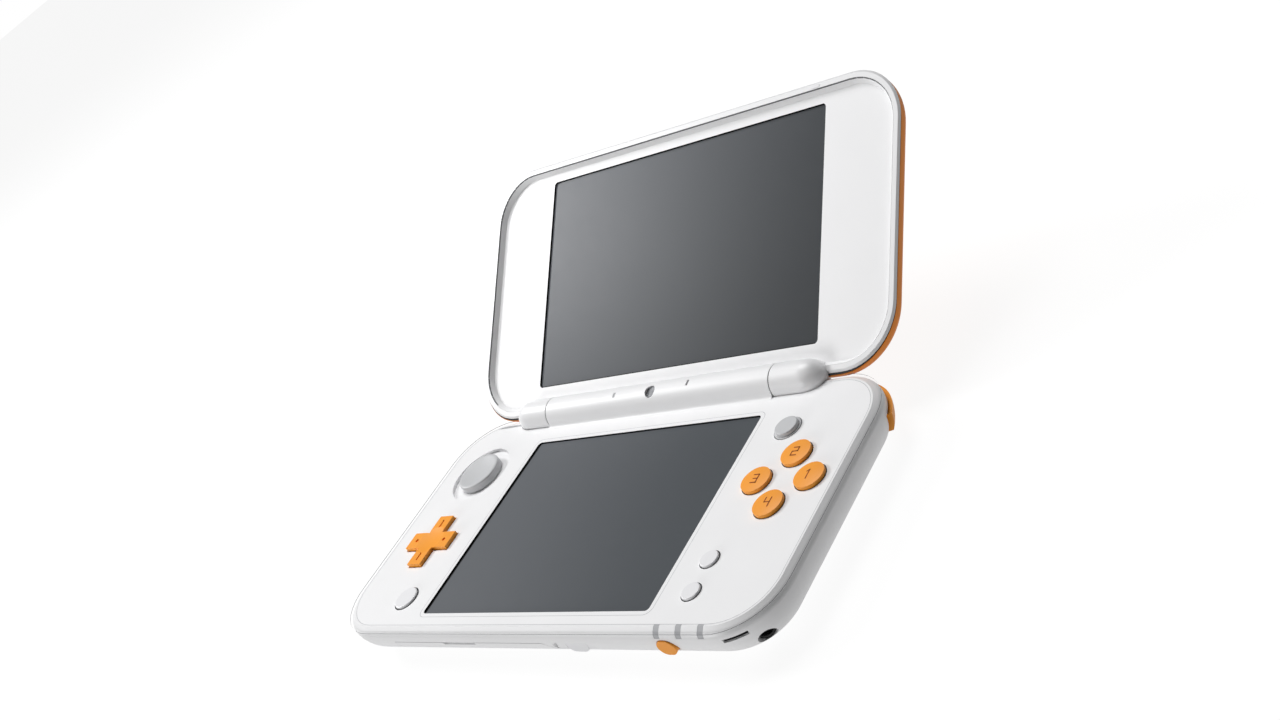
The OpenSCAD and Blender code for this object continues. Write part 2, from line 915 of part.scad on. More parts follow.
module main_board() {
    lane = stylus_w + 2 * (stylus_gap + holder_t) + 2 * fit;
    color(board_green) {
        difference() {
            translate([0, 0, pcb_z]) linear_extrude(pcb_t) difference() {
                round_rect(board_w, board_d, board_r);
                translate([stylus_x - lane / 2, -hd]) square([lane, hd + stylus_back + 2 * fit]);
                translate([flap_x0 - 2 * wall, -hd])
                    square([flap_x1 - flap_x0 + 3 * wall, hd + bulkhead_y + bulkhead_t + fit]);
                for (s = [-1, 1]) {
                    translate([s * hw, -hd]) square([2 * board_notch, 2 * board_notch], center = true);
                }
            }
            at_screws() cylinder(r = screw_r + fit, h = base_h);
        }
        for (p = chip_spots) {
            translate([p[0], p[1], pcb_z - chip_t]) cube([p[2], p[3], chip_t + pcb_t / 2]);
        }
    }
}

module battery() {
    color(dark) translate([battery_x, battery_yc, cover_t + fit])
        linear_extrude(battery_t) round_rect(battery_w, battery_d, 1);
}

module speaker() {
    translate([speaker_x, speaker_y, speaker_z]) rotate([0, 0, -45]) {
        difference() {
            translate([-speaker_d / 2, -speaker_w / 2, 0]) cube([speaker_d, speaker_w, speaker_t]);
            translate([0, 0, speaker_t / 2]) cylinder(r = speaker_d / 2 - wall / 2, h = speaker_t);
        }
        translate([0, 0, speaker_t / 2 - fit]) cylinder(r = speaker_d / 4, h = speaker_t / 4);
    }
}

module speaker_right() {
    color(dark) speaker();
}

module speaker_left() {
    color(dark) mirror([1, 0, 0]) speaker();
}

module card_slot() {
    y0 = bulkhead_y + bulkhead_t + fit;
    color(metal) difference() {
        translate([card_x - card_w / 2 - card_wall, y0, card_z - card_wall])
            cube([card_w + 2 * card_wall, card_depth, card_h + 2 * card_wall]);
        translate([card_x - card_w / 2, y0 - past, card_z])
            cube([card_w, card_depth - card_wall + past, card_h]);
    }
}

module memory_card_slot() {
    y0 = bulkhead_y + bulkhead_t + fit;
    color(metal) difference() {
        translate([memory_x - memory_w / 2 - holder_t, y0, memory_z - holder_t])
            cube([memory_w + 2 * holder_t, memory_depth, pcb_z - memory_z + holder_t]);
        translate([memory_x - memory_w / 2, y0 - past, memory_z])
            cube([memory_w, memory_depth - holder_t + past, memory_h]);
    }
}

module card_cover() {
    color(white) difference() {
        union() {
            intersection() {
                translate([0, front_cy, 0]) rotate([90, 0, 0]) linear_extrude(2 * belly_r) flap_outline(0);
                translate([flap_x0 - past, 0, 0]) rotate([90, 0, 90])
                    linear_extrude(flap_x1 - flap_x0 + 2 * past)
                    front_arc(0, flap_t, flap_axis_angle, flap_end_angle);
            }
            translate([(flap_x0 + flap_x1) / 2, flap_axis_y, flap_axis_z])
                x_rod(flap_knuckle_r, flap_x1 - flap_x0);
        }
        translate([notch_x, front_y - past, flap_top]) rotate([-90, 0, 0])
            linear_extrude(past + notch_depth)
            square([2 * notch_half, 2 * notch_h], center = true);
    }
}

module stylus_holder() {
    y0 = front_y + holder_front;
    color(dark) difference() {
        translate([stylus_x, y0, stylus_z])
            y_oval(stylus_half, stylus_h / 2 + stylus_gap + holder_t, stylus_back - y0);
        translate([stylus_x, y0 - past, stylus_z])
            y_oval(stylus_half, stylus_h / 2 + stylus_gap, stylus_back - y0 + past - holder_t);
    }
}

module stylus() {
    y0 = front_y + scoop_depth;
    tip = 6;
    color(white) {
        translate([stylus_x, y0, stylus_z]) y_oval(stylus_half, stylus_h / 2, stylus_l - tip);
        translate([stylus_x, y0 + stylus_l - tip, stylus_z]) rotate([-90, 0, 0]) rotate_extrude() polygon([
            [0, 0],
            [stylus_h / 2, 0],
            [stylus_h / 4, tip - 1],
            [0, tip]
        ]);
    }
}

module headphone_jack() {
    color(dark) jack_axis() difference() {
        union() {
            linear_extrude(jack_box) square([jack_h, jack_w], center = true);
            cylinder(r = mouth_r - 2 * fit, h = jack_reach);
        }
        translate([0, 0, jack_reach - jack_depth]) cylinder(r = jack_r, h = jack_depth + past);
    }
}

module dc_jack() {
    y1 = hd - dc_depth;
    z0 = dc_z - dc_h / 2;
    color(dark) difference() {
        translate([-dc_w / 2 - holder_t, y1 - dc_l, z0 - holder_t])
            cube([dc_w + 2 * holder_t, dc_l, pcb_z - z0 + holder_t]);
        translate([-dc_w / 2, y1 - dc_l + wall, z0]) cube([dc_w, dc_l, dc_h]);
    }
    color(metal) translate([-dc_w / 2 + wall, y1 - dc_l + wall / 2, dc_z - dc_h / 8])
        cube([dc_w - 2 * wall, dc_l, dc_h / 4]);
}

module ir_window() {
    color(dark) intersection() {
        base_form();
        translate([ir_x - ir_w / 2, hd - dc_depth, dc_z - ir_h / 2]) cube([ir_w, dc_depth + past, ir_h]);
    }
}

module light_pipes() {
    color(grey) intersection() {
        base_form();
        for (x = pipe_x) {
            translate([x - pipe_w / 2 + fit, front_y - past, pipe_z + fit])
                cube([pipe_w - 2 * fit, past + plate_inset, base_h]);
        }
    }
}

module power_button() {
    y_in = power_seat_y;
    color(orange) {
        translate([power_x, front_wall_y(power_z) - power_out, power_z])
            y_oval(power_half, power_r, y_in + power_flange_t - front_wall_y(power_z) + power_out);
        translate([power_x, y_in, power_z])
            y_oval(power_half + flange_w, power_r - slide_gap, power_flange_t);
    }
}

function front_wall_y(z) = front_cy - sqrt(belly_r * belly_r - (belly_r - z) * (belly_r - z));

module volume_slider() {
    flange_l = slider_l + 4 * slider_travel + 2 * flange_w;
    color(grey) {
        translate([-hw - slider_out, slider_y - slider_l / 2, slider_z - slider_h / 2])
            cube([slider_out + slider_in + holder_t, slider_l, slider_h]);
        translate([slider_in - hw, slider_y - flange_l / 2, slider_z - slider_h / 2 - slider_lap])
            cube([2 * holder_t, flange_l, slider_h + 2 * slider_lap]);
    }
}

// ---------- Controls ----------

module slide_pad_base() {
    color(dark) translate([left_x, pad_y, pcb_top]) {
        difference() {
            cylinder(r = tray_r, h = tray_h);
            translate([0, 0, tray_floor]) cylinder(r = tray_r - tray_wall, h = tray_h);
        }
        rail_y = (carriage_w + holder_t) / 2 + slide_gap;
        for (s = [-1, 1]) {
            translate([-carriage_l / 2, s * rail_y - holder_t / 2, tray_floor - fit])
                cube([carriage_l, holder_t, carriage_t]);
        }
    }
}

module slide_pad_carriage() {
    color(grey) translate([left_x, pad_y, carriage_z]) linear_extrude(carriage_t) difference() {
        square([carriage_l, carriage_w], center = true);
        square([2 * stem_r + 2 * slide_gap, 2 * stem_r + 2 * pad_travel + 2 * slide_gap], center = true);
    }
}

module slide_pad_cap() {
    cap_z0 = dish_z + cap_gap;
    disc_z = carriage_z + carriage_t + slide_gap;
    color(grey) translate([left_x, pad_y, 0]) {
        translate([-stem_r, -stem_r, carriage_z])
            cube([2 * stem_r, 2 * stem_r, disc_z + disc_t / 2 - carriage_z]);
        translate([0, 0, disc_z]) cylinder(r = disc_r, h = disc_t);
        translate([0, 0, disc_z + disc_t / 2])
            cylinder(r = stem_r, h = cap_z0 + pad_edge / 2 - disc_z - disc_t / 2);
        difference() {
            translate([0, 0, cap_z0]) edged_disc(pad_r, cap_z - cap_z0, pad_edge);
            translate([0, 0, cap_z - pad_hollow + pad_hollow_r]) sphere(pad_hollow_r);
        }
    }
}

// A disc with a rounded top edge
module edged_disc(r, h, e) {
    rotate_extrude() {
        square([r, h - e]);
        square([r - e, h]);
        intersection() {
            translate([r - e, h - e]) circle(e);
            translate([r - e, h - e]) square([e, e]);
        }
    }
}

module direction_pad() {
    color(orange) translate([left_x, cross_y, 0]) difference() {
        union() {
            translate([0, 0, cross_z + cross_flange_t / 2])
                linear_extrude(cross_top - cross_z - cross_flange_t / 2)
                cross_2d(cross_l, cross_w);
            translate([0, 0, cross_z]) cylinder(r = (cross_l + flange_w) / 2, h = cross_flange_t);
        }
        translate([0, 0, cross_top - cross_dip + cross_dip_r]) sphere(cross_dip_r);
        for (s = [-1, 1]) {
            translate([0, s * mark_at, cross_top - cross_dip - mark_t]) linear_extrude(past)
                square([mark_w, mark_l], center = true);
            translate([s * mark_at, 0, cross_top - cross_dip - mark_t]) cylinder(r = mark_w, h = past);
        }
        translate([0, 0, cross_z - past]) cylinder(r = pivot_r + slide_gap, h = past + slide_gap);
    }
}

module direction_pad_pivot() {
    color(grey) translate([left_x, cross_y, pivot_z]) cylinder(r = pivot_r, h = pivot_h);
}

module direction_pad_membrane() {
    color(grey) translate([left_x, cross_y, pcb_top]) difference() {
        union() {
            cylinder(r = membrane_r, h = membrane_t);
            for (s = face_spots) {
                translate([s[0] * dome_at, s[1] * dome_at, 0]) cylinder(r = low_dome_r, h = low_dome_h);
            }
        }
        translate([0, 0, -past]) cylinder(r = pivot_r + moving_gap, h = 2 * past + membrane_t);
    }
}

module face_button_membrane() {
    color(grey) translate([right_x, face_y, pcb_top]) {
        linear_extrude(membrane_t) cross_2d(2 * face_pitch + 2 * face_r, 2 * face_r);
        for (s = face_spots) {
            translate([s[0] * face_pitch, s[1] * face_pitch, 0]) cylinder(r = dome_r, h = dome_h);
        }
    }
}

module face_button(i) {
    s = face_spots[i];
    h = base_h + face_up - button_z;
    color(orange) translate([right_x + s[0] * face_pitch, face_y + s[1] * face_pitch, button_z]) {
        intersection() {
            edged_disc(face_r, h, face_edge);
            translate([0, 0, h - face_dome_r]) sphere(face_dome_r);
        }
        cylinder(r = face_r + flange_w, h = flange_t);
    }
}

module face_button_right() {
    face_button(0);
}

module face_button_top() {
    face_button(1);
}

module face_button_left() {
    face_button(2);
}

module face_button_bottom() {
    face_button(3);
}

module nub_sensor() {
    color(metal) translate([stick_x, stick_y, pcb_top]) linear_extrude(nub_z - pcb_top)
        square(2 * stick_r, center = true);
}

module pointing_nub() {
    h = base_h + face_up - nub_z;
    color(grey) translate([stick_x, stick_y, nub_z]) {
        cylinder(r = stick_r, h = h - 1);
        edged_disc(stick_r - nub_in, h, nub_edge);
    }
}

module small_button(x, y, r) {
    translate([x, y, button_z]) {
        edged_disc(r, base_h + small_up - button_z, small_edge);
        cylinder(r = r + flange_w, h = flange_t);
    }
}

module home_button() {
    color(white) small_button(home_x, home_y, home_r);
}

module start_button() {
    color(white) small_button(start_x, start_y, small_r);
}

module select_button() {
    color(white) small_button(start_x, select_y, small_r);
}

module small_button_membranes() {
    color(grey) {
        for (p = [[home_x, home_y], [start_x, start_y], [start_x, select_y]]) {
            translate([p[0], p[1], pcb_top]) {
                cylinder(r = small_r + flange_w, h = membrane_t);
                cylinder(r = dome_r / 2, h = small_dome_h);
            }
        }
    }
}

module shoulder_button() {
    low = shoulder_bottom;
    difference() {
        union() {
            shoulder_corner(low, shoulder_top, shoulder_out, shoulder_depth, shoulder_start);
            back_strip(shoulder_x, hw - corner_r, low, shoulder_low_top, shoulder_out, shoulder_depth);
            translate([hw - corner_r - rib_w / 2, hd - rib_in, low + rib_edge])
                cube([rib_w, rib_t, shoulder_low_top - low - 2 * rib_edge]);
            translate([pin_x, pin_y, low]) cylinder(r = arm_r, h = shoulder_low_top - low);
            translate([pin_x - arm_r, pin_y, low]) cube([2 * arm_r, arm_l, shoulder_low_top - low]);
        }
        translate([pin_x, pin_y, 0]) cylinder(r = pin_r + run_fit, h = base_h);
    }
}

module shoulder_right() {
    color(orange) shoulder_button();
}

module shoulder_left() {
    color(orange) mirror([1, 0, 0]) shoulder_button();
}

module trigger() {
    back_strip(trigger_x0, trigger_x1, shoulder_bottom, shoulder_low_top, trigger_out, trigger_depth);
    stop_x0 = trigger_x0 - 2 * moving_gap;
    stop_x1 = trigger_x1 - moving_gap;
    back_strip(stop_x0, stop_x1, shoulder_bottom, shoulder_low_top, trigger_inset, trigger_depth);
}

module trigger_right() {
    color(orange) trigger();
}

module trigger_left() {
    color(orange) mirror([1, 0, 0]) trigger();
}

module shoulder_switches() {
    color(metal) for (x = [-switch_x1, -switch_x0, switch_x0, switch_x1]) {
        translate([x - switch_w / 2, switch_y, pcb_z - switch_h]) cube([switch_w, switch_d, switch_h]);
    }
}

// ---------- In the barrel ----------

module inner_camera() {
    color(dark) in_barrel(0, camera_angle) difference() {
        slot_block(camera_box, camera_box, camera_low, camera_top);
        translate([0, 0, camera_top - holder_t]) cylinder(r = camera_r / 2, h = past);
    }
}

module camera_window() {
    color(dark) in_barrel(0, camera_angle) translate([0, 0, camera_top + fit])
        cylinder(r = camera_r, h = camera_window_t);
}

module microphone() {
    color(metal) in_barrel(mic_x, mic_angle) slot_block(mic_box, mic_box, camera_low, mic_top);
}

module indicator_lens() {
    color(grey) in_barrel(indicator_x, indicator_angle) {
        slot_block(slit_w, slit_d, indicator_low, barrel_r - slide_gap);
        slot_block(3 * slit_w, 2 * slit_d, camera_low, indicator_low + fit);
    }
}

module outer_cameras() {
    color(dark) for (s = [-1, 1]) {
        translate([s * outer_camera_x, outer_camera_y, lens_in])
            cylinder(r = outer_camera_r, h = floor_z - lens_in + fit);
        translate([s * outer_camera_x, outer_camera_y, floor_z])
            linear_extrude(pcb_z - floor_z) square(2 * outer_camera_r, center = true);
    }
}

// ---------- Hinge ----------

module hinge_shaft() {
    color(metal) at_hinge() rotate([0, 90, 0]) {
        translate([0, 0, barrel_half - barrel_end - shaft_head])
            cylinder(r = barrel_bore - fit, h = shaft_head - fit);
        translate([0, 0, barrel_half - barrel_end - shaft_head])
            cylinder(r = shaft_r, h = barrel_end + shaft_head + cartridge_l);
    }
}

module hinge_cartridge() {
    x0 = knuckle_x + holder_t;
    color(metal) open_lid() at_hinge() rotate([0, 90, 0]) translate([0, 0, x0]) difference() {
        cylinder(r = cartridge_r, h = cartridge_l);
        translate([0, 0, -past]) cylinder(r = shaft_r + run_fit, h = cartridge_l + past / 2);
    }
}

module hinge_bush() {
    color(metal) at_hinge() rotate([0, -90, 0]) difference() {
        union() {
            translate([0, 0, barrel_half - barrel_end - shaft_head])
                cylinder(r = barrel_bore - fit, h = shaft_head - fit);
            translate([0, 0, barrel_half - barrel_end - shaft_head])
                cylinder(r = bush_r, h = barrel_end + shaft_head + bush_l);
        }
        cylinder(r = bush_r - bush_wall, h = body_w);
    }
}

module hinge_flex() {
    color(orange) at_hinge() rotate([0, -90, 0]) translate([0, 0, barrel_half - 2 * barrel_end])
        difference() {
        cylinder(r = bush_r - bush_wall - fit, h = 2 * barrel_end + bush_l);
        translate([0, 0, -past]) cylinder(r = bush_r - 2 * bush_wall, h = body_w);
    }
}

// ---------- Lid, drawn closed ----------

module lid_pan(z0, z1) {
    translate([0, lid_yc, 0]) pan(lid_w, lid_d, lid_r, z0, z1) children();
}

module barrel_room(r) {
    at_hinge() x_rod(r, 2 * knuckle_x);
}

module lid_frame_profile() {
    inner = lid_r - rim_in + fit;
    polygon([
        [inner, lid_z],
        [lid_r - rim_out, lid_z],
        [lid_r - flange_in, lid_z + flange_h],
        [lid_r - core_in, lid_z + flange_h],
        [lid_r - core_in, lid_z + core_h],
        [lid_r - core_in - 1, lid_z + frame_h],
        [inner, lid_z + frame_h]
    ]);
}

module ring(z0, z1) {
    for (sx = [0, 1], sy = [0, 1]) {
        mirror([sx, 0, 0]) translate([0, lid_yc, 0]) mirror([0, sy, 0])
            translate([lid_w / 2 - lid_r, lid_d / 2 - lid_r, 0]) rotate_extrude(angle = 90) children();
    }
    for (sy = [0, 1]) {
        translate([0, lid_yc, 0]) mirror([0, sy, 0]) translate([lid_r - lid_w / 2, lid_d / 2 - lid_r, 0])
            rotate([90, 0, 90]) linear_extrude(lid_w - 2 * lid_r) children();
    }
    for (sx = [0, 1]) {
        mirror([sx, 0, 0]) translate([lid_w / 2 - lid_r, lid_yc + lid_d / 2 - lid_r, 0])
            rotate([90, 0, 0]) linear_extrude(lid_d - 2 * lid_r) children();
    }
}

module knuckle_bores() {
    at_hinge() rotate([0, 90, 0]) translate([0, 0, knuckle_x - past])
        cylinder(r = cartridge_r + fit, h = cartridge_l + past + holder_t + fit);
    at_hinge() rotate([0, -90, 0]) translate([0, 0, knuckle_x - past])
        cylinder(r = bush_r + run_fit, h = bush_l + past + fit);
}

module lid_frame() {
    color(white) open_lid() difference() {
        union() {
            difference() {
                ring() lid_frame_profile();
                barrel_room(room_r);
            }
            for (s = [0, 1]) {
                mirror([s, 0, 0]) {
                    knuckle_form(knuckle_x, knuckle_x + knuckle_straight, barrel_r, knuckle_dome);
                    translate([knuckle_x, web_y, bezel_z + bezel_t + fit])
                        cube([web_l, web_w, web_top - bezel_z - bezel_t]);
                }
            }
        }
        knuckle_bores();
    }
}

module lid_bezel_profile() {
    edge = lid_r - rim_in;
    top = bezel_z + bezel_t;
    polygon([[0, bezel_z], [edge - slope_w, bezel_z], [edge, lid_z], [edge, top], [0, top]]);
}

module lid_bezel() {
    edge = lid_r - rim_in;
    room = 2 * panel_margin + 2 * fit;
    color(white) open_lid() difference() {
        translate([0, lid_yc, 0])
            pan(lid_w - 2 * rim_in, lid_d - 2 * rim_in, edge, bezel_z, bezel_z + bezel_t) lid_bezel_profile();
        translate([0, screen_yc, 0]) linear_extrude(lid_top) round_rect(upper_w, upper_h, screen_corner);
        translate([0, screen_yc, bezel_z + screen_lip]) linear_extrude(lid_t)
            round_rect(upper_w + room, upper_h + room, screen_corner);
        barrel_room(room_r);
        for (s = [0, 1]) {
            mirror([s, 0, 0])
                knuckle_form(barrel_half, knuckle_x + knuckle_straight, barrel_r + fit, knuckle_dome + fit);
        }
    }
}

module upper_window() {
    color(slate) open_lid() translate([0, screen_yc, bezel_z + screen_lip]) linear_extrude(panel_t)
        round_rect(upper_w + 2 * panel_margin, upper_h + 2 * panel_margin, screen_corner);
}

module upper_lcd() {
    color(metal) open_lid() translate([0, screen_yc, bezel_z + screen_lip + panel_t + fit])
        linear_extrude(lcd_t)
        round_rect(upper_w + panel_margin, upper_h + panel_margin, screen_corner);
}

module sector(r, a0, a1) {
    far = 2 * r;
    intersection() {
        circle(r);
        polygon([[0, 0], [far * cos(a0), far * sin(a0)], [far * cos(a1), far * sin(a1)]]);
    }
}

// Half of the outer cover's section: a small edge arc that runs into a wide crown arc
module cover_profile(inset, z0) {
    edge_x = lid_r - lid_edge_r;
    crown_x = edge_x - (crown_r - lid_edge_r) * cos(crown_start);
    crown_z = seam_z - (crown_r - lid_edge_r) * sin(crown_start);
    intersection() {
        union() {
            square([crown_x, lid_top - inset]);
            translate([crown_x, crown_z]) sector(crown_r - inset, crown_start, 90);
            translate([edge_x, seam_z]) sector(lid_edge_r - inset, 0, crown_start);
            square([lid_r - inset, seam_z]);
        }
        translate([0, z0]) square([lid_r, lid_top]);
    }
}

module cover_form(inset, z0) {
    lid_pan(z0, lid_top - inset) cover_profile(inset, z0);
}

module lid_outer_cover() {
    color(orange) open_lid() difference() {
        cover_form(0, seam_z);
        cover_form(lid_wall, seam_z - past);
        at_hinge() x_rod(barrel_r + cover_gap, 2 * (knuckle_end + cover_gap));
    }
}

module lid_trim() {
    color(grey) open_lid() difference() {
        ring() polygon([
            [lid_r - core_in + fit, lid_z + flange_h],
            [lid_r - trim_in, lid_z + flange_h],
            [lid_r - trim_in, seam_z],
            [lid_r - core_in + fit, seam_z]
        ]);
        at_hinge() x_rod(barrel_r + cover_gap, 2 * (knuckle_end + cover_gap));
    }
}

base_shell();
back_cover();
back_cover_screws();
foot_pads();
base_top_plate();
base_screws();
touch_panel();
lower_lcd();
main_board();
battery();
speaker_left();
speaker_right();
card_slot();
memory_card_slot();
card_cover();
stylus_holder();
stylus();
headphone_jack();
dc_jack();
ir_window();
light_pipes();
power_button();
volume_slider();
slide_pad_base();
slide_pad_carriage();
slide_pad_cap();
direction_pad();
direction_pad_pivot();
direction_pad_membrane();
face_button_membrane();
face_button_right();
face_button_top();
face_button_left();
face_button_bottom();
pointing_nub();
nub_sensor();
home_button();
start_button();
select_button();
small_button_membranes();
shoulder_left();
shoulder_right();
trigger_left();
trigger_right();
shoulder_switches();
inner_camera();
camera_window();
microphone();
indicator_lens();
outer_cameras();
hinge_shaft();
hinge_bush();
hinge_flex();
hinge_cartridge();
lid_frame();
lid_bezel();
upper_window();
upper_lcd();
lid_outer_cover();
lid_trim();
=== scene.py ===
import json
import math

import bpy
from mathutils import Matrix, Vector


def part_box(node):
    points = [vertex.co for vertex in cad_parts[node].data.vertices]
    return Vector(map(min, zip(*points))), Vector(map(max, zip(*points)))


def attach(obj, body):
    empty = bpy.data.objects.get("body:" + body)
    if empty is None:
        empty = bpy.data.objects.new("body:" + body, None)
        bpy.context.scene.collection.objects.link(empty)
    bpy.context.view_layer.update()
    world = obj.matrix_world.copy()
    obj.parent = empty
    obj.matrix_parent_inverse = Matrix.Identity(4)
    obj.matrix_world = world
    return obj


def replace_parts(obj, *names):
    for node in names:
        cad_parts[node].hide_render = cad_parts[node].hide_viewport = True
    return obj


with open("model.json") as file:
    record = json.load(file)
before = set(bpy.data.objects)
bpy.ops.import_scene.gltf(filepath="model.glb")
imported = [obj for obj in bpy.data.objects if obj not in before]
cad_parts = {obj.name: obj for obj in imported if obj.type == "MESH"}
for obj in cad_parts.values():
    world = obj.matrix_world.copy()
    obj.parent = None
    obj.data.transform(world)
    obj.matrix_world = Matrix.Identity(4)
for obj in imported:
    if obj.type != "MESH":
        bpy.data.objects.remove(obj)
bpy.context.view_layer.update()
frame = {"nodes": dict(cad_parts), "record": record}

MM = 0.001


# ---------- shader parts ----------

DRIFT_SCALE = 38.0             # slow drift of colour and polish over a plastic
DRIFT_DETAIL = 4.0
DRIFT_ENDS = (0.3, 0.7)
POLISH = 0.05                  # roughness drifts by this much either way
SMOOTHEST = 0.03
GRAIN_DETAIL = 3.0
GRAIN_DEPTH = 0.2 * MM

BRUSH_SCALE = 900.0            # brushed metal, drawn out along x
BRUSH_STRETCH = (0.06, 1.0, 1.0)
BRUSH_SHADE = 0.85
BRUSH_POLISH = 0.08

PANEL_NOISE = 22.0             # a display's grey is slightly uneven
PANEL_UNEVEN = 0.08
PANEL_ROUGH = 0.3
PANEL_SPECULAR = 0.12
DUST_SCALE = 240.0
DUST_DETAIL = 5.0
DUST_ROUGH = 0.08


def srgb(r, g, b):
    """Linear colour of an 8-bit one."""
    def lin(c):
        c = c / 255.0
        return c / 12.92 if c <= 0.04045 else ((c + 0.055) / 1.055) ** 2.4
    return (lin(r), lin(g), lin(b), 1.0)


def scaled(colour, factor):
    return tuple(min(1.0, c * factor) for c in colour[:3]) + (1.0,)


def principled(name):
    m = bpy.data.materials.new(name)
    m.use_nodes = True
    nt = m.node_tree
    return m, nt, nt.nodes["Principled BSDF"]


def object_place(nt):
    return nt.nodes.new("ShaderNodeTexCoord").outputs["Object"]


def noise(nt, scale, detail=2.0, place=None):
    node = nt.nodes.new("ShaderNodeTexNoise")
    node.inputs["Scale"].default_value = scale
    node.inputs["Detail"].default_value = detail
    if place:
        nt.links.new(place, node.inputs["Vector"])
    return node.outputs["Fac"]


def set_colour(nt, p, value, dark, light, ends=(0.0, 1.0), ease="LINEAR"):
    """Base colour from dark to light as the value runs between the ends."""
    node = nt.nodes.new("ShaderNodeValToRGB")
    node.color_ramp.interpolation = ease
    for element, position, colour in zip(node.color_ramp.elements, ends, (dark, light)):
        element.position = position
        element.color = colour
    nt.links.new(value, node.inputs["Fac"])
    nt.links.new(node.outputs["Color"], p.inputs["Base Color"])


def set_roughness(nt, p, value, low, high):
    node = nt.nodes.new("ShaderNodeMapRange")
    node.inputs["To Min"].default_value = low
    node.inputs["To Max"].default_value = high
    nt.links.new(value, node.inputs["Value"])
    nt.links.new(node.outputs["Result"], p.inputs["Roughness"])


def camera_level(nt, others, camera):
    """A strength with one value for camera rays and one for all others."""
    path = nt.nodes.new("ShaderNodeLightPath")
    mix = nt.nodes.new("ShaderNodeMix")
    mix.data_type = "FLOAT"
    mix.inputs["A"].default_value = others
    mix.inputs["B"].default_value = camera
    nt.links.new(path.outputs["Is Camera Ray"], mix.inputs["Factor"])
    return mix.outputs["Result"]


# ---------- materials ----------

def plastic(name, rgb, rough, grain=0.5, bump=0.02, vary=0.03, coat=0.0, coat_rough=0.1, specular=0.5):
    """Moulded plastic: a fine spark-eroded grain, slight colour drift and slight polish from handling."""
    m, nt, p = principled(name)
    place = object_place(nt)
    fine = noise(nt, 1 / MM / grain, GRAIN_DETAIL, place)
    broad = noise(nt, DRIFT_SCALE, DRIFT_DETAIL, place)
    base = srgb(*rgb)
    set_colour(nt, p, broad, scaled(base, 1 - vary), scaled(base, 1 + vary), DRIFT_ENDS)
    set_roughness(nt, p, broad, max(SMOOTHEST, rough - POLISH), min(1.0, rough + POLISH))
    relief = nt.nodes.new("ShaderNodeBump")
    relief.inputs["Strength"].default_value = bump
    relief.inputs["Distance"].default_value = GRAIN_DEPTH
    nt.links.new(fine, relief.inputs["Height"])
    nt.links.new(relief.outputs["Normal"], p.inputs["Normal"])
    p.inputs["Coat Weight"].default_value = coat
    p.inputs["Coat Roughness"].default_value = coat_rough
    p.inputs["Specular IOR Level"].default_value = specular
    return m


def metal(name, rgb, rough):
    """Brushed metal."""
    m, nt, p = principled(name)
    drawn = nt.nodes.new("ShaderNodeMapping")
    drawn.inputs["Scale"].default_value = BRUSH_STRETCH
    nt.links.new(object_place(nt), drawn.inputs["Vector"])
    brush = noise(nt, BRUSH_SCALE, place=drawn.outputs["Vector"])
    base = srgb(*rgb)
    set_colour(nt, p, brush, scaled(base, BRUSH_SHADE), base)
    set_roughness(nt, p, brush, rough - BRUSH_POLISH, rough + BRUSH_POLISH)
    p.inputs["Metallic"].default_value = 1.0
    return m


def screen(name, dark, light, start, end):
    """Glossy panel over an unlit display: its grey lightens from start to end as a painted reflection,
    places in millimetres.
    """
    m, nt, p = principled(name)
    place = object_place(nt)
    run = (Vector(end) - Vector(start)) * MM
    from_start = nt.nodes.new("ShaderNodeVectorMath")
    from_start.operation = "SUBTRACT"
    from_start.inputs[1].default_value = Vector(start) * MM
    nt.links.new(place, from_start.inputs[0])
    share = nt.nodes.new("ShaderNodeVectorMath")
    share.operation = "DOT_PRODUCT"
    share.inputs[1].default_value = run / run.length_squared
    nt.links.new(from_start.outputs["Vector"], share.inputs[0])
    uneven = nt.nodes.new("ShaderNodeMath")
    uneven.operation = "MULTIPLY_ADD"
    uneven.inputs[1].default_value = PANEL_UNEVEN
    nt.links.new(noise(nt, PANEL_NOISE, place=place), uneven.inputs[0])
    nt.links.new(share.outputs["Value"], uneven.inputs[2])
    set_colour(nt, p, uneven.outputs["Value"], srgb(*dark), srgb(*light), ease="EASE")
    dust = noise(nt, DUST_SCALE, DUST_DETAIL, place)
    set_roughness(nt, p, dust, PANEL_ROUGH, PANEL_ROUGH + DUST_ROUGH)
    p.inputs["Specular IOR Level"].default_value = PANEL_SPECULAR
    return m


WHITE = plastic("white_shell", (240, 240, 241), 0.38, bump=0.04, vary=0.012, coat=0.1, coat_rough=0.3)
WHITE_TOP = plastic("white_plate", (243, 243, 244), 0.42, bump=0.04, vary=0.01, coat=0.05, coat_rough=0.35)
ORANGE = plastic("orange_plastic", (240, 140, 36), 0.42, bump=0.06, specular=0.3)
ORANGE_KEY = plastic("orange_key", (252, 164, 56), 0.36, grain=0.7, bump=0.03, vary=0.02, specular=0.3)
GREY = plastic("grey_plastic", (196, 197, 199), 0.45, bump=0.06, vary=0.02)
PALE_KEY = plastic("pale_key", (238, 238, 240), 0.38, grain=0.6, bump=0.03, vary=0.012,
                   coat=0.1, coat_rough=0.25)
DARK = plastic("dark_plastic", (38, 39, 41), 0.5, bump=0.08, vary=0.08)
# black: the screens' seals and the speaker cloth, and painted shade on the screens' opening walls and in the
# gaps beside the knuckles
SEAL_AND_SHADE = plastic("black_seal_and_painted_shade", (14, 14, 15), 0.6, vary=0.1, specular=0.2)
# dark grey: the lid's trim seam, and painted shade in the hinge's gap under the lid and round the buttons
DARK_SEAM_AND_SHADE = plastic("deep_seam_and_painted_shade", (62, 62, 64), 0.7, vary=0.05, specular=0.1)
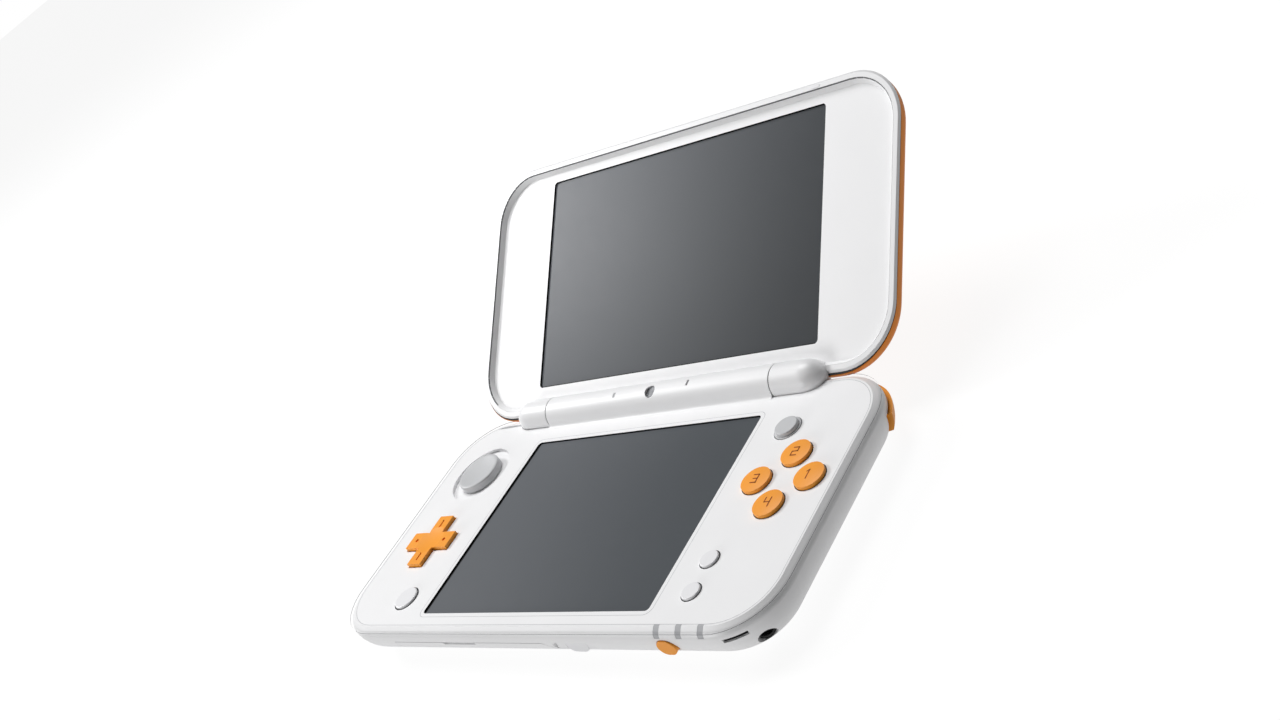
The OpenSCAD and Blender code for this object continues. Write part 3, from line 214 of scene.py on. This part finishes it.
# painted shade along the case's crease and at the top of the bezel's slope
SHADE = plastic("crease_shade", (120, 121, 124), 0.7, specular=0.1)
SEAM = plastic("seam", (188, 189, 192), 0.7, specular=0.1)
# dark orange: the numerals' print, and painted shade in the direction pad's grooves
MARK_AND_SHADE = plastic("engraved_mark_and_painted_shade", (150, 70, 14), 0.6, vary=0.05, specular=0.2)
LENS = plastic("dark_lens", (12, 12, 14), 0.08, grain=2.0, bump=0.01, vary=0.05, coat=1.0, coat_rough=0.03)
CAMERA = plastic("camera_cover", (128, 130, 134), 0.25, grain=1.5, bump=0.01, vary=0.04, coat=0.4)
SILICONE = plastic("silicone", (176, 178, 182), 0.6, grain=0.8, bump=0.05, vary=0.04)
PIPE = plastic("light_pipe", (178, 179, 182), 0.35, grain=1.0, vary=0.05, coat=0.2)
STEEL = metal("steel", (186, 187, 190), 0.32)
BOARD = plastic("board", (24, 84, 52), 0.4, grain=0.8, bump=0.2, vary=0.2, coat=0.3)
FILM = plastic("flex_film", (214, 128, 40), 0.35, grain=1.5, bump=0.05, vary=0.06, coat=0.4)
# each screen's grey lightens towards its left: a painted reflection
LOWER = screen("lower_screen", (80, 84, 88), (104, 107, 111), start=(42.7, 0, 12), end=(-42.7, -20, 12))
UPPER = screen("upper_screen", (59, 62, 65), (99, 102, 107), start=(53, 50, 20), end=(-53, 105, 75))

BY_SLOT = {
    "white_shell": WHITE, "orange_plastic": ORANGE, "grey_plastic": GREY, "dark_plastic": DARK,
    "screen": LOWER, "metal": STEEL, "board": BOARD, "silicone": SILICONE,
    "display_glass": LOWER, "cell_case": DARK,
}
BY_NODE = {
    "base_top_plate": WHITE_TOP, "lid_bezel": WHITE_TOP,
    "face_button_right": ORANGE_KEY, "face_button_top": ORANGE_KEY,
    "face_button_left": ORANGE_KEY, "face_button_bottom": ORANGE_KEY,
    "shoulder_left": ORANGE_KEY, "shoulder_right": ORANGE_KEY,
    "trigger_left": ORANGE_KEY, "trigger_right": ORANGE_KEY,
    "home_button": PALE_KEY, "start_button": PALE_KEY, "select_button": PALE_KEY,
    "direction_pad": ORANGE_KEY, "power_button": ORANGE_KEY, "stylus": PALE_KEY,
    "upper_window": UPPER, "upper_lcd": DARK, "lower_lcd": DARK,
    "camera_window": CAMERA, "outer_cameras": LENS, "light_pipes": PIPE, "indicator_lens": PIPE,
    "ir_window": LENS, "hinge_flex": FILM,
}


def cad(node):
    return frame["nodes"][node]


def set_material(mesh, mat):
    mesh.materials.clear()
    mesh.materials.append(mat)


for entry in frame["record"]["subparts"]:
    node = entry["node"]
    set_material(cad(node).data, BY_NODE.get(node, BY_SLOT[entry["material_slot"]]))


# ---------- sizes ----------
# Lengths are in millimetres, in the part's frame. Lid pieces are placed closed and then turned open.

LIFT = 0.012                   # trim stands this far off the surface that it lies on

BODY_HALF = (80.0, 41.0)       # the case, its crease and the seam of its top plate
BODY_CORNER = 16.5
BASE_TOP = 12.8
CREASE_Z = 12.3
CREASE_LINE = (-0.09, 0.05)    # the painted shade line's lower and upper edge from CREASE_Z
PLATE_INSET = 2.6
PLATE_LINE = (-0.08, 0.04)     # the line's outer and inner edge from PLATE_INSET
SEAM_BACK_X = 61.0             # both lines end here on the back, beside the hinge

PANEL_MARGIN = 1.8             # a panel reaches this far past its opening
OPENING_CORNER = 1.2
SEAL_DROP = 0.08               # the black of the seal and its painted shade starts this far inside the opening
LOWER_BORDER = (0.6, 0.12, 0.15, 0.15)    # what shows of the seal on the panel: left, right, front, back; the lower left is widened with painted shade
UPPER_BORDER = (0.2, 0.45, 0.2, 0.4)
FRAME_GAP = 1.15               # the line round the lower screen, from the opening
FRAME_LINE = 0.1
UPPER_H = 64.8                 # the upper opening and its panel, with the lid closed
UPPER_Y = -0.79
UPPER_PANEL_Z = 15.19

LID_HALF = 79.5                # the lid, closed
LID_BACK = 41.0
LID_DEPTH = 80.8
LID_CORNER = 17.0
RIM_Z = 13.05
RIM_IN = 2.8                   # from the lid's outline to the bezel's slope
SLOPE_W = 1.2
BEZEL_Z = 14.69
BEZEL_SEAM_SHADE = 0.2               # share of the slope darkened: the seam to the frame, widened as painted shade
CORNER_SKIP = 4                # points left out at each back corner, beside the knuckle
COVER_STRETCH = 0.85           # how far the cover's edge arc is carried on, away from the rim
SEAM_TOL = 0.02                # vertices this near the cover's seam stay on it
TRIM_BACK = 0.15               # the trim stands back from the rim's side

BARREL_R = 4.9                 # the hinge, with its gaps beside the knuckles and under the lid, painted dark as shade
BARREL_HALF = 42.7
KNUCKLE_GAP = (0.01, 0.28)     # from the barrel's end
KNUCKLE_GAP_IN = 0.12
KNUCKLE_GAP_ANGLES = (-20, 250)
LID_GAP_R = 5.17
LID_GAP_INSET = 0.4
LID_GAP_ANGLES = (15.8, 32)

NUMERAL_W = 0.34
MARK_AT = 6.2                  # marks in the dish of the direction pad, from its middle; their dark strokes are painted shade
MARK_HALF = 1.1
MARK_DOT = 0.05
MARK_W = 0.5
MARK_DEPTH = 0.65

HOME_RING = (3.7, 0.36)        # a button's radius and the width of the painted shade round it
SMALL_RING = (2.6, 0.26)
FACE_RING = (4.15, 0.22)
RING_CLEAR = 0.03

CLOTH_IN = 0.75                # cloth behind the speaker slots
CLOTH_Z = (8.75, 10.05)
CLOTH_ANGLES = (-78, -53)

RIM_PADS = (("left", -48), ("right", 51))
RIM_PAD_Y = -37.7
RIM_PAD_HALF = (1.5, 0.45)
RIM_PAD_PROUD = 0.1
RIM_PAD_ROOT = 0.02            # its root lies this far inside the rim
RIM_PAD_EDGE = 0.08
RIM_PAD_ROUND = (0.95, 0.8)    # corner at its root and its face, as shares of its half depth

CORNER_STEPS = 10              # steps of each arc
CAP_STEPS = 8
HINGE_STEPS = 40
RING_STEPS = 48
CLOTH_STEPS = 20

joints = {j["name"]: j for j in frame["record"]["behaviour"]["joints"]}
hinge = Vector(joints["lid_hinge"]["pos_m"])
OPEN = (Matrix.Translation(hinge)
        @ Matrix.Rotation(math.radians(joints["lid_hinge"]["range_deg"][0]), 4, "X")
        @ Matrix.Translation(-hinge))


# ---------- shapes ----------

def seen_from_above(node):
    """Middle and half sizes of a CAD node's box in x and y, and the height of its top."""
    low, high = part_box(node)
    centre = ((low.x + high.x) / 2 / MM, (low.y + high.y) / 2 / MM)
    half = ((high.x - low.x) / 2 / MM, (high.y - low.y) / 2 / MM)
    return centre, half, high.z / MM


def place_mesh(name, mesh, body):
    """Puts a mesh into the scene as a piece that moves with a body."""
    ob = bpy.data.objects.new(name, mesh)
    bpy.context.scene.collection.objects.link(ob)
    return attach(ob, body)


def mesh_piece(name, verts, faces, mat, body, lid=False):
    me = bpy.data.meshes.new(name)
    me.from_pydata([Vector(v) * MM for v in verts], [], faces)
    if lid:
        me.transform(OPEN)
    me.materials.append(mat)
    return place_mesh(name, me, body)


def fitted_copy(node, mat, half, stretch=0.0):
    """A copy of a lid node, drawn in at its sides and free edge, its edge arc carried on from the rim."""
    me = cad(node).data.copy()
    me.name = node + "_fitted"
    me.transform(OPEN.inverted())
    old_half = seen_from_above(node)[1][0]
    shrink = half / old_half
    draw_in = 1 - (old_half - half) / LID_DEPTH
    top = max(v.co.z for v in me.vertices)
    seam = min(v.co.z for v in me.vertices)
    for v in me.vertices:
        v.co.x *= shrink
        v.co.y = LID_BACK * MM + (v.co.y - LID_BACK * MM) * draw_in
        if v.co.z > seam + SEAM_TOL * MM:
            v.co.z += stretch * MM * (top - v.co.z) / (top - seam)
    me.transform(OPEN)
    set_material(me, mat)
    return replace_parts(place_mesh(node + "_fitted", me, "lid"), node)


def level(points, z):
    """Points of a plane outline at one height."""
    return [(x, y, z) for x, y in points]


def angles(start, end, steps):
    """Angles in radians between two in degrees, both ends included."""
    return [math.radians(start + (end - start) * i / steps) for i in range(steps + 1)]


def corner_arc(cx, cy, r, start):
    """A quarter of a circle, anticlockwise from its start angle."""
    return [(cx + r * math.cos(t), cy + r * math.sin(t)) for t in angles(start, start + 90, CORNER_STEPS)]


def rounded(x0, x1, y0, y1, r):
    """Outline of a rounded rectangle, anticlockwise from the left end of its back edge."""
    return (corner_arc(x0 + r, y1 - r, r, 90) + corner_arc(x0 + r, y0 + r, r, 180)
            + corner_arc(x1 - r, y0 + r, r, 270) + corner_arc(x1 - r, y1 - r, r, 0))


def band(loops, closed=True):
    """Quads between loops of equal length."""
    verts = [v for loop in loops for v in loop]
    n = len(loops[0])
    faces = []
    for k in range(len(loops) - 1):
        for i in range(n if closed else n - 1):
            j = (i + 1) % n
            faces.append((k * n + i, k * n + j, (k + 1) * n + j, (k + 1) * n + i))
    return verts, faces


def band_piece(name, loops, mat, body, closed=True, lid=False):
    """A thin piece made of one band."""
    verts, faces = band(loops, closed)
    return mesh_piece(name, verts, faces, mat, body, lid)


def strokes(name, lines, width, centre, z, mat, body):
    """Flat round-ended strokes, each a pair of points about the centre."""
    verts, faces = [], []
    for (ax, ay), (bx, by) in lines:
        heading = math.degrees(math.atan2(by - ay, bx - ax))
        start = len(verts)
        for x, y, turn in ((bx, by, heading - 90), (ax, ay, heading + 90)):
            for t in angles(turn, turn + 180, CAP_STEPS):
                around = (width / 2 * math.cos(t), width / 2 * math.sin(t))
                verts.append((centre[0] + x + around[0], centre[1] + y + around[1], z))
        faces.append(tuple(range(start, len(verts))))
    return mesh_piece(name, verts, faces, mat, body)


# ---------- lid cover ----------
# The cover's edge stands level with the rim's, so the rim hides it from the left and from above.

rim_half = seen_from_above("lid_frame")[1][0]
fitted_copy("lid_outer_cover", ORANGE, rim_half, COVER_STRETCH)
fitted_copy("lid_trim", DARK_SEAM_AND_SHADE, rim_half - TRIM_BACK)


# ---------- screens ----------

def black_border_and_shade(name, half, yc, edge_z, panel_z, border, body, lid=False):
    """Black seal of a screen as a border on its panel, and painted shade on the wall of its opening."""
    left, right, front, back = border
    x, y = half
    side = 1 if panel_z < edge_z else -1
    opening = rounded(-x + LIFT, x - LIFT, yc - y + LIFT, yc + y - LIFT, OPENING_CORNER)
    inner = rounded(-x + left, x - right, yc - y + front, yc + y - back, OPENING_CORNER / 2)
    loops = [level(opening, edge_z - side * SEAL_DROP), level(opening, panel_z + side * LIFT),
             level(inner, panel_z + side * LIFT)]
    return band_piece(name, loops, SEAL_AND_SHADE, body, lid=lid)


(_, lower_y), panel_half, lower_panel_z = seen_from_above("touch_panel")
lower_half = tuple(half - PANEL_MARGIN for half in panel_half)
black_border_and_shade("lower_screen_seal_and_shade", lower_half, lower_y, BASE_TOP, lower_panel_z, LOWER_BORDER, "base")
_, window_half, _ = seen_from_above("upper_window")
upper_half = (window_half[0] - PANEL_MARGIN, UPPER_H / 2)
black_border_and_shade("upper_screen_seal_and_shade", upper_half, UPPER_Y, BEZEL_Z, UPPER_PANEL_Z, UPPER_BORDER, "lid", lid=True)


# ---------- painted shade along the crease and the bezel, and seams ---

def body_path(inset, z):
    """Outline of the body from the back left to the back right, round the front."""
    x, y = BODY_HALF[0] - inset, BODY_HALF[1] - inset
    outline = rounded(-x, x, -y, y, BODY_CORNER - inset)
    return level([(-SEAM_BACK_X, y)] + outline + [(SEAM_BACK_X, y)], z)


def frame_path(out):
    """Outline round the lower screen's opening."""
    x, y = lower_half[0] + FRAME_GAP + out, lower_half[1] + FRAME_GAP + out
    return level(rounded(-x, x, lower_y - y, lower_y + y, OPENING_CORNER + FRAME_GAP), BASE_TOP + LIFT)


def bezel_path(t):
    """The bezel's slope from the rim (t = 0) to its face (t = 1), round the lid up to the knuckles."""
    inset = RIM_IN + SLOPE_W * t
    x = LID_HALF - inset
    outline = rounded(-x, x, LID_BACK - LID_DEPTH + inset, LID_BACK - inset, LID_CORNER - inset)
    return level(outline[CORNER_SKIP:-CORNER_SKIP], RIM_Z + (BEZEL_Z - RIM_Z) * t - LIFT)


# dark line along the case's crease: painted shade
crease = [body_path(-LIFT, CREASE_Z + z) for z in CREASE_LINE]
band_piece("base_crease_shade", crease, SHADE, "base", closed=False)
plate_seam = [body_path(PLATE_INSET + inset, BASE_TOP + LIFT) for inset in PLATE_LINE]
band_piece("plate_seam", plate_seam, SEAM, "base", closed=False)
band_piece("screen_frame_line", [frame_path(0), frame_path(FRAME_LINE)], SEAM, "base")
# dark band at the top of the bezel's slope: the seam to the frame, widened into painted shade
band_piece("bezel_seam_shade", [bezel_path(0), bezel_path(BEZEL_SEAM_SHADE)], SHADE, "lid", closed=False, lid=True)


# ---------- painted shade in the gaps of the hinge ---

def hinge_band(name, x0, x1, r, ends, mat, body, lid=False):
    """A band about the hinge axis, between two angles measured from the front, rising over the top."""
    hy, hz = hinge.y / MM, hinge.z / MM
    arc = angles(*ends, HINGE_STEPS)
    loops = [[(x, hy - r * math.cos(t), hz + r * math.sin(t)) for t in arc] for x in (x0, x1)]
    return band_piece(name, loops, mat, body, closed=False, lid=lid)


# black bands inside the gaps beside the knuckles: painted shade
for side, tag in ((-1, "left"), (1, "right")):
    x0, x1 = sorted(side * (BARREL_HALF + gap) for gap in KNUCKLE_GAP)
    hinge_band("knuckle_gap_shade_" + tag, x0, x1, BARREL_R - KNUCKLE_GAP_IN, KNUCKLE_GAP_ANGLES, SEAL_AND_SHADE, "base")
# a dark band in the gap between the barrel and the lid: painted shade
gap_half = BARREL_HALF - LID_GAP_INSET
hinge_band("lid_gap_shade", -gap_half, gap_half, LID_GAP_R, LID_GAP_ANGLES, DARK_SEAM_AND_SHADE, "lid", lid=True)


# ---------- buttons ----------

# plain numerals on the four buttons, as strokes about the button's middle
NUMERALS = {
    "face_button_right": [((-0.1, 1.4), (-0.1, -1.4)), ((-0.7, 0.9), (-0.1, 1.4))],
    "face_button_top": [((-0.8, 1.3), (0.8, 1.3)), ((0.8, 1.3), (0.8, 0)), ((0.8, 0), (-0.8, 0)),
                        ((-0.8, 0), (-0.8, -1.3)), ((-0.8, -1.3), (0.8, -1.3))],
    "face_button_left": [((-0.8, 1.3), (0.8, 1.3)), ((0.8, 1.3), (0.8, -1.3)), ((0.8, 0), (-0.5, 0)),
                         ((0.8, -1.3), (-0.8, -1.3))],
    "face_button_bottom": [((-0.8, 1.4), (-0.8, 0)), ((-0.8, 0), (0.8, 0)), ((0.8, 1.4), (0.8, -1.4))],
}
for node, lines in NUMERALS.items():
    centre, _, top = seen_from_above(node)
    name = node.replace("face_button", "numeral")
    strokes(name, lines, NUMERAL_W, centre, top + LIFT, MARK_AND_SHADE, node + "_body")


def circle(centre, r):
    turns = [math.tau * i / RING_STEPS for i in range(RING_STEPS)]
    return [(centre[0] + r * math.cos(t), centre[1] + r * math.sin(t)) for t in turns]


# painted shade: a dark ring in the clearance round each button
RINGS = {"home_button": HOME_RING, "start_button": SMALL_RING, "select_button": SMALL_RING}
RINGS.update((node, FACE_RING) for node in NUMERALS)
for node, (radius, width) in RINGS.items():
    centre, _, _ = seen_from_above(node)
    inner = radius + RING_CLEAR
    loops = [level(circle(centre, r), BASE_TOP + LIFT) for r in (inner, inner + width)]
    band_piece(node + "_gap", loops, DARK_SEAM_AND_SHADE, "base")

# dark strokes on the floors of the direction pad's grooves: painted shade
centre, _, top = seen_from_above("direction_pad")
groove_shade = [((0, MARK_AT - MARK_HALF), (0, MARK_AT + MARK_HALF)),
         ((0, -MARK_AT - MARK_HALF), (0, -MARK_AT + MARK_HALF)),
         ((MARK_AT, -MARK_DOT), (MARK_AT, MARK_DOT)),
         ((-MARK_AT, -MARK_DOT), (-MARK_AT, MARK_DOT))]
strokes("direction_groove_shade", groove_shade, MARK_W, centre, top - MARK_DEPTH + LIFT, MARK_AND_SHADE, "direction_pad_body")


# ---------- speaker cloth and rim pads ----------

def speaker_cloth(tag, side):
    """Dark cloth strip seen inside the corner's speaker slot."""
    cx, cy, r = BODY_HALF[0] - BODY_CORNER, BODY_CORNER - BODY_HALF[1], BODY_CORNER - CLOTH_IN
    arc = [(side * (cx + r * math.cos(t)), cy + r * math.sin(t)) for t in angles(*CLOTH_ANGLES, CLOTH_STEPS)]
    return band_piece("speaker_cloth_" + tag, [level(arc, z) for z in CLOTH_Z], SEAL_AND_SHADE, "base", closed=False)


def rim_pad(tag, x):
    """Small soft stop on the lid's rim, near its free edge."""
    def outline(inset, corner):
        half, deep = RIM_PAD_HALF[0] - inset, RIM_PAD_HALF[1] - inset
        return rounded(x - half, x + half, RIM_PAD_Y - deep, RIM_PAD_Y + deep, corner * RIM_PAD_HALF[1])

    root = level(outline(0, RIM_PAD_ROUND[0]), RIM_Z + RIM_PAD_ROOT)
    face = level(outline(RIM_PAD_EDGE, RIM_PAD_ROUND[1]), RIM_Z - RIM_PAD_PROUD)
    verts, faces = band([root, face])
    faces.append(tuple(range(len(root), len(verts))))
    return mesh_piece("rim_pad_" + tag, verts, faces, PALE_KEY, "lid", lid=True)


speaker_cloth("right", 1)
speaker_cloth("left", -1)
for tag, x in RIM_PADS:
    rim_pad(tag, x)


# ---------- camera ----------
# The camera's place is in metres. It was solved from the corners of the two screens.

LENS_MM = 45.007
SENSOR_MM = 36.0
NEAREST = 0.01
EYE = Vector((0.30643, -0.20353, 0.21057))
LOOK = Vector((-0.70531, 0.56725, -0.42516)).normalized()
UP = Vector((0.11851, 0.68566, 0.71821)).normalized()

cam = bpy.data.cameras.new("camera")
cam.lens = LENS_MM
cam.sensor_width = SENSOR_MM
cam.clip_start = NEAREST
right = LOOK.cross(UP).normalized()
up = right.cross(LOOK)
cam_obj = bpy.data.objects.new("camera", cam)
bpy.context.scene.collection.objects.link(cam_obj)
cam_obj.matrix_world = Matrix((
    (right.x, up.x, -LOOK.x, EYE.x),
    (right.y, up.y, -LOOK.y, EYE.y),
    (right.z, up.z, -LOOK.z, EYE.z),
    (0, 0, 0, 1),
))
bpy.context.scene.camera = cam_obj


# ---------- lights, background and floor ----------

WHITE_LIGHT = (1, 1, 1, 1)
SKY_FILL = 0.05                # strength of the background on the part, and as the camera sees it
SKY_SEEN = 1.0
FLOOR_FILL = 0.6
FLOOR_SEEN = 0.92
FLOOR_HALF = 3.0
FLOOR_DROP = 0.05 * MM
FLOOR_GREY = (0.115, 0.12)
FLOOR_NOISE = 30.0
FLOOR_ROUGH = 0.9


def area(name, where, target, size, power):
    light = bpy.data.lights.new(name, "AREA")
    light.energy = power
    light.size = size
    ob = bpy.data.objects.new(name, light)
    bpy.context.scene.collection.objects.link(ob)
    ob.location = where
    ob.rotation_euler = (Vector(target) - Vector(where)).to_track_quat("-Z", "Y").to_euler()


area("key", where=(-1.0, 0.05, 0.75), target=(0, 0, 0.03), size=0.3, power=8.0)
area("overhead", where=(-0.3, 0.4, 0.95), target=(0, 0, 0), size=0.5, power=7.4)
area("front", where=(-0.5, -1.1, 0.2), target=(0, 0, 0), size=0.4, power=5.4)

world = bpy.data.worlds.new("world")
bpy.context.scene.world = world
world.use_nodes = True
sky = world.node_tree.nodes["Background"]
sky.inputs["Color"].default_value = WHITE_LIGHT
world.node_tree.links.new(camera_level(world.node_tree, SKY_FILL, SKY_SEEN), sky.inputs["Strength"])

corners = [(-FLOOR_HALF, -FLOOR_HALF, 0), (FLOOR_HALF, -FLOOR_HALF, 0),
           (FLOOR_HALF, FLOOR_HALF, 0), (-FLOOR_HALF, FLOOR_HALF, 0)]
floor_mesh = bpy.data.meshes.new("floor")
floor_mesh.from_pydata(corners, [], [(0, 1, 2, 3)])
floor = bpy.data.objects.new("floor", floor_mesh)
bpy.context.scene.collection.objects.link(floor)
floor.location.z = -FLOOR_DROP
paper, nt, p = principled("floor")
set_colour(nt, p, noise(nt, FLOOR_NOISE), *((grey, grey, grey, 1) for grey in FLOOR_GREY))
p.inputs["Roughness"].default_value = FLOOR_ROUGH
p.inputs["Specular IOR Level"].default_value = 0.0
p.inputs["Emission Color"].default_value = WHITE_LIGHT
nt.links.new(camera_level(nt, FLOOR_FILL, FLOOR_SEEN), p.inputs["Emission Strength"])
floor_mesh.materials.append(paper)

bpy.context.scene.view_settings.view_transform = "Standard"
